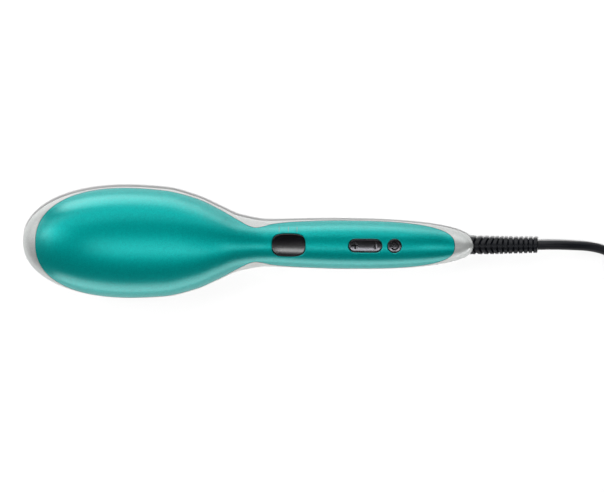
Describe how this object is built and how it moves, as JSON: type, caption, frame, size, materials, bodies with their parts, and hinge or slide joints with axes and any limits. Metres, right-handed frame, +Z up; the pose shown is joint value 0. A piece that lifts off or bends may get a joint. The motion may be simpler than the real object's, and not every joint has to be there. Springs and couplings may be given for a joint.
{
  "type": "hair straightening brush",
  "caption": "Hair straightening brush: oval paddle head with heated pins and cool guard bristles, and a handle with display, level rocker, power button and a coiled mains lead with a flat plug.",
  "frame": {"origin": "on the ground under the middle of the brush, from the nose of the head to the end of the strain relief, with the brush lying on its bristle tips and the underside of its tail", "axes": "+X along the handle towards the cord, +Y to the left seen from the head, +Z up out of the top cover"},
  "size_m": [0.5524, 0.1, 0.0425],
  "materials": {
    "teal_cover": "satin metallic lacquer with fine flake",
    "pearl_shell": "pearl silver lacquer",
    "black_plastic": "matt moulded",
    "comb_plastic": "heat-proof moulded",
    "coated_aluminium": "ceramic coated",
    "steel": "plated",
    "ceramic": "fired ceramic",
    "brass": "plain strip",
    "mica": "mica sheet",
    "bead_glass": "clear",
    "board": "solder mask",
    "natural_plastic": "moulded, uncoloured",
    "gloss_black": "polished",
    "gunmetal": "dark metallic lacquer",
    "wire_red": "insulation",
    "wire_blue": "insulation",
    "rubber_black": "soft moulded"
  },
  "bodies": {
    "housing": {"top_cover": "teal_cover", "base_shell": "pearl_shell", "head_screw_front": "steel", "head_screw_rear": "steel", "housing_screw_neck": "steel", "housing_screw_tail": "steel", "guard_frame": "black_plastic", "heater_plate": "coated_aluminium", "tip_comb": "comb_plastic", "ptc_heater_front": "ceramic", "ptc_heater_rear": "ceramic", "electrode_strip": "brass", "insulation_sheet": "mica", "heater_clamp": "steel", "clamp_screw_front": "steel", "clamp_screw_rear": "steel", "thermistor": "bead_glass", "thermal_fuse": "steel", "control_board": "board", "display_module": "natural_plastic", "display_window": "gloss_black", "plus_switch": "black_plastic", "minus_switch": "black_plastic", "power_switch": "black_plastic", "key_frame": "natural_plastic", "rocker_pivot_pin": "steel", "mains_capacitor": "natural_plastic", "triac": "black_plastic", "heater_wire_live": "wire_red", "heater_wire_neutral": "wire_blue", "mains_wire_live": "wire_red", "mains_wire_neutral": "wire_blue", "sensor_wire": "rubber_black", "cord_clamp": "black_plastic", "cord_clamp_screw_left": "steel", "cord_clamp_screw_right": "steel", "cord_inner": "rubber_black", "strain_relief": "rubber_black", "cord_lead": "rubber_black", "cord_coil": "rubber_black", "cord_end": "rubber_black", "cord_tie": "black_plastic", "plug_body": "rubber_black", "plug_pin_left": "steel", "plug_pin_right": "steel"},
    "level_rocker": {"level_rocker": "gunmetal"},
    "power_button": {"power_button": "gunmetal"}
  },
  "joints": [
    {"name": "level_rocker_tilt", "type": "hinge", "parent": "housing", "child": "level_rocker", "pos_m": [0.0549, 0, 0.0189], "axis": [0, 1, 0], "range_deg": [-3, 3], "stiffness_Nm_per_rad": 0.2},
    {"name": "power_button_press", "type": "slide", "parent": "housing", "child": "power_button", "axis": [0, 0, 1], "range_m": [-0.0006, 0], "stiffness_N_per_m": 1500}
  ]
}
